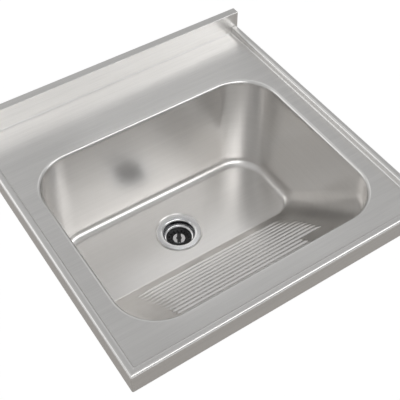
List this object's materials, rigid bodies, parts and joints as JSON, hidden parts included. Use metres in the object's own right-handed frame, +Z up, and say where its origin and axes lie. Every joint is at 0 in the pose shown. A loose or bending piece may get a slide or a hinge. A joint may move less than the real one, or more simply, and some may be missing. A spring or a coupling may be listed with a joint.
{
  "type": "laundry sink",
  "caption": "Square stainless laundry sink for wall fixing, with a deep rectangular bowl, a sloped washboard front and a lift-out drain basket.",
  "frame": {"origin": "on the wall plane, midway between the two fixing holes of the wall brackets", "axes": "+X to the right seen from the user, +Y towards the wall, +Z up"},
  "size_m": [0.6, 0.6, 0.412],
  "materials": {
    "brushed_steel_sheet": "satin stainless sheet, brushed along the width",
    "polished_steel": "polished stainless pressing",
    "black_plastic": "black moulding, faint texture",
    "black_rubber": "matte black rubber",
    "white_plastic": "white moulding",
    "soft_white": "soft pale foam and rubber rings",
    "fibre": "pressed fibre ring",
    "folded_steel": "plain folded sheet, mill finish",
    "bracket_steel": "zinc-coated steel",
    "plated_steel": "bright plated fasteners",
    "pad_bitumen": "matte dark grey damping sheet"
  },
  "bodies": {
    "sink": {"deck": "brushed_steel_sheet", "bowl": "brushed_steel_sheet", "strainer_body": "polished_steel", "lock_nut": "black_plastic", "under_washer": "black_rubber", "tailpiece": "white_plastic", "slip_nut": "white_plastic", "flange_seal": "soft_white", "tail_washer": "soft_white", "friction_ring": "fibre", "left_channel": "folded_steel", "right_channel": "folded_steel", "front_channel": "folded_steel", "rear_channel": "folded_steel", "left_wall_bracket": "bracket_steel", "right_wall_bracket": "bracket_steel", "bracket_bolts": "plated_steel", "bracket_washers": "plated_steel", "bracket_nuts": "plated_steel", "back_sound_pad": "pad_bitumen", "left_sound_pad": "pad_bitumen", "right_sound_pad": "pad_bitumen", "slope_sound_pad": "pad_bitumen", "floor_sound_pad": "pad_bitumen"},
    "basket": {"basket": "black_plastic", "knob_ring": "polished_steel", "basket_seal": "black_rubber", "seal_screw": "plated_steel"}
  },
  "joints": [
    {"name": "basket_lift", "type": "slide", "parent": "sink", "child": "basket", "axis": [0, 0, 1], "range_m": [0, 0.33]}
  ]
}
